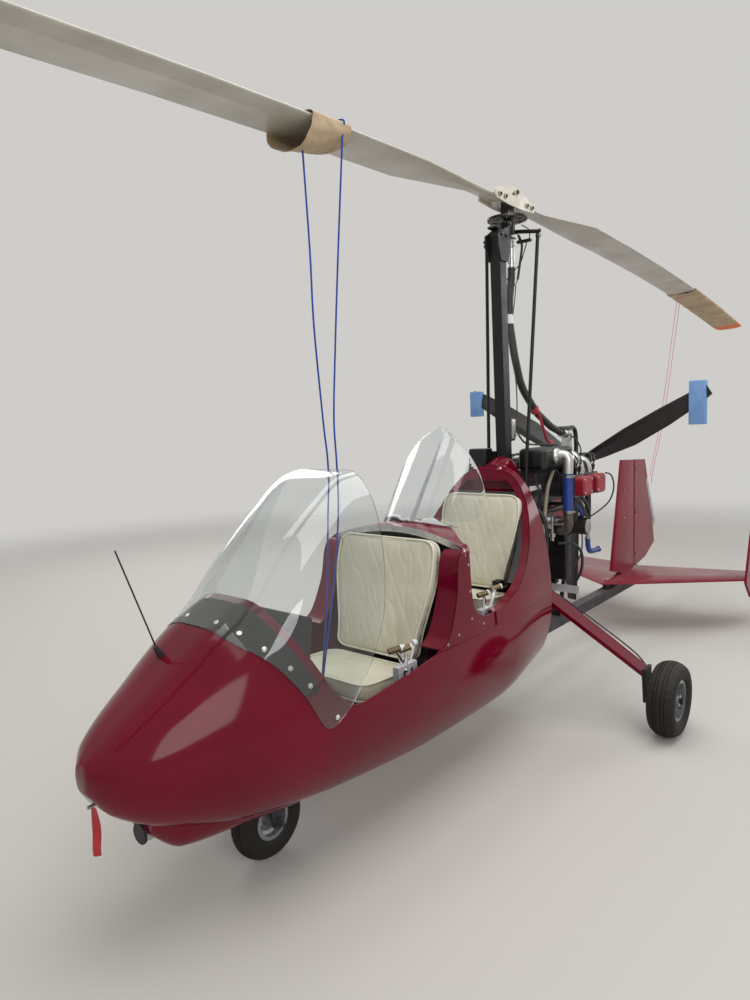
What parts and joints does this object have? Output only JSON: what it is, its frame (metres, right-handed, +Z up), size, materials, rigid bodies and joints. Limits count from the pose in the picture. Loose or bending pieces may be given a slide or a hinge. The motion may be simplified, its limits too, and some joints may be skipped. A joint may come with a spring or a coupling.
{
  "type": "two-seat gyrocopter",
  "caption": "Open-cockpit tandem gyrocopter with a pusher propeller, parked on three wheels, its rotor fore and aft.",
  "frame": {"origin": "on the floor, on the centre plane under the middle of the rotor", "axes": "+X to port, +Y aft along the keel and the parked rotor, +Z up"},
  "size_m": [1.772, 8.55, 2.624],
  "materials": {
    "maroon_gelcoat": "maroon gelcoat",
    "clear_sheet": "clear sheet",
    "black_coating": "black coating",
    "dark_grey_coating": "dark grey coating",
    "bare_aluminium": "bare aluminium",
    "cast_engine_metal": "cast engine metal",
    "white_blade_paint": "white blade paint",
    "cream_hub_plate": "cream hub plate",
    "cream_upholstery": "cream upholstery",
    "black_shell": "black shell",
    "black_leatherette": "black leatherette",
    "canvas": "canvas",
    "tyre_rubber": "tyre rubber",
    "silver_rim": "silver rim",
    "red_cover": "red cover",
    "blue_cover": "blue cover",
    "black_rubber": "black rubber",
    "grey_canister": "grey canister",
    "dark_blade": "dark blade",
    "lamp_glass": "lamp glass"
  },
  "bodies": {
    "airframe": {"airbox": "black_shell", "axle_brackets": "black_coating", "bearing_head": "black_coating", "chin_fairing": "maroon_gelcoat", "control_rods": "black_coating", "cooling_hoses": "blue_cover", "cowl_trim": "bare_aluminium", "electrical_box": "black_shell", "end_plates": "maroon_gelcoat", "engine_block": "cast_engine_metal", "engine_frame": "black_coating", "engine_plate": "bare_aluminium", "exhaust_canister": "grey_canister", "fin": "maroon_gelcoat", "flight_controls": "black_coating", "front_screen": "clear_sheet", "gear_legs": "maroon_gelcoat", "gear_saddle": "black_coating", "headrest_cowl": "maroon_gelcoat", "hose_coupling": "bare_aluminium", "instrument_panel": "black_leatherette", "intake_pipes": "bare_aluminium", "keel": "dark_grey_coating", "landing_lamp": "lamp_glass", "levers": "bare_aluminium", "mast": "black_coating", "mast_cheeks": "black_coating", "mid_cowl": "maroon_gelcoat", "oil_tank": "black_shell", "pitot_tube": "bare_aluminium", "pod_shell": "maroon_gelcoat", "rear_screen": "clear_sheet", "rotor_starter": "bare_aluminium", "screen_stay": "bare_aluminium", "seat_backs": "cream_upholstery", "seat_cushions": "cream_upholstery", "seat_shells": "black_shell", "stabiliser": "maroon_gelcoat", "starter_hose": "black_rubber", "valve_covers": "red_cover", "wheel_well": "black_shell", "whip_aerial": "black_rubber"},
    "rotor_shaft": {"ring_gear": "bare_aluminium", "teeter_tower": "black_coating"},
    "rotor": {"hub_bar": "cream_hub_plate", "rotor_blades": "white_blade_paint", "blade_sleeves": "canvas"},
    "propeller": {"prop_hub": "black_coating", "prop_blades": "dark_blade", "prop_covers": "blue_cover"},
    "rudder": {"rudder": "maroon_gelcoat", "trim_tab": "bare_aluminium"},
    "nose_fork": {"nose_fork": "dark_grey_coating"},
    "nose_wheel": {"nose_tyre": "tyre_rubber", "nose_rim": "silver_rim"},
    "port_wheel": {"port_tyre": "tyre_rubber", "port_rim": "silver_rim"},
    "starboard_wheel": {"starboard_tyre": "tyre_rubber", "starboard_rim": "silver_rim"}
  },
  "joints": [
    {"name": "rotor_spin", "type": "hinge", "parent": "airframe", "child": "rotor_shaft", "pos_m": [0, 0, 2.44], "axis": [0, 0, 1], "continuous": true},
    {"name": "rotor_teeter", "type": "hinge", "parent": "rotor_shaft", "child": "rotor", "pos_m": [0, 0, 2.604], "axis": [1, 0, 0], "range_deg": [-9, 9]},
    {"name": "propeller_spin", "type": "hinge", "parent": "airframe", "child": "propeller", "pos_m": [0, 0.816, 1.2], "axis": [0, 1, 0], "continuous": true},
    {"name": "rudder_hinge", "type": "hinge", "parent": "airframe", "child": "rudder", "pos_m": [0, 1.815, 0.78], "axis": [0, 0, 1], "range_deg": [-25, 25]},
    {"name": "nose_steer", "type": "hinge", "parent": "airframe", "child": "nose_fork", "pos_m": [0, -1.822, 0.38], "axis": [0, 0, 1], "range_deg": [-25, 25]},
    {"name": "nose_wheel_spin", "type": "hinge", "parent": "nose_fork", "child": "nose_wheel", "pos_m": [0, -1.767, 0.14], "axis": [1, 0, 0], "continuous": true},
    {"name": "port_wheel_spin", "type": "hinge", "parent": "airframe", "child": "port_wheel", "pos_m": [0.824, -0.034, 0.174], "axis": [1, 0, 0], "continuous": true},
    {"name": "starboard_wheel_spin", "type": "hinge", "parent": "airframe", "child": "starboard_wheel", "pos_m": [-0.824, -0.034, 0.174], "axis": [1, 0, 0], "continuous": true}
  ]
}
